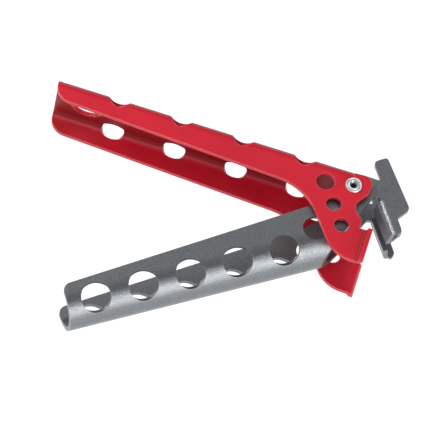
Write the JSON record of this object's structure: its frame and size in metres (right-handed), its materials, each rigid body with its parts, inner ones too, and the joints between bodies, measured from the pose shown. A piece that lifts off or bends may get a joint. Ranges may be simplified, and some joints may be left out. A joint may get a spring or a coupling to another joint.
{
  "type": "pot gripper",
  "caption": "Pliers-like pot gripper: crossing folded-sheet levers with perforated handles turn on hollow rivets, and squeezing them closes an inner jaw on outer lips.",
  "frame": {"origin": "on the pivot axis, midway between the two rivet heads", "axes": "+Z along the pivot axis, +X from the upper handle's end to the jaws, +Y out of the upper handle's flat back"},
  "size_m": [0.1434, 0.1053, 0.0336],
  "materials": {
    "red_coat": "satin powder coat over folded sheet",
    "grey_coat": "fine hammertone coat over folded sheet",
    "rivet_metal": "bright",
    "spacer_plastic": "matte",
    "washer_steel": "plain"
  },
  "bodies": {
    "upper": {"upper_lever": "red_coat", "top_rivet": "rivet_metal", "bottom_rivet": "rivet_metal", "top_spacer": "spacer_plastic", "bottom_spacer": "spacer_plastic", "top_tail_washer": "washer_steel", "bottom_tail_washer": "washer_steel"},
    "lower": {"lower_lever": "grey_coat"}
  },
  "joints": [
    {"name": "grip", "type": "hinge", "parent": "upper", "child": "lower", "pos_m": [0, 0, 0], "axis": [0, 0, -1], "range_deg": [0, 35]}
  ]
}
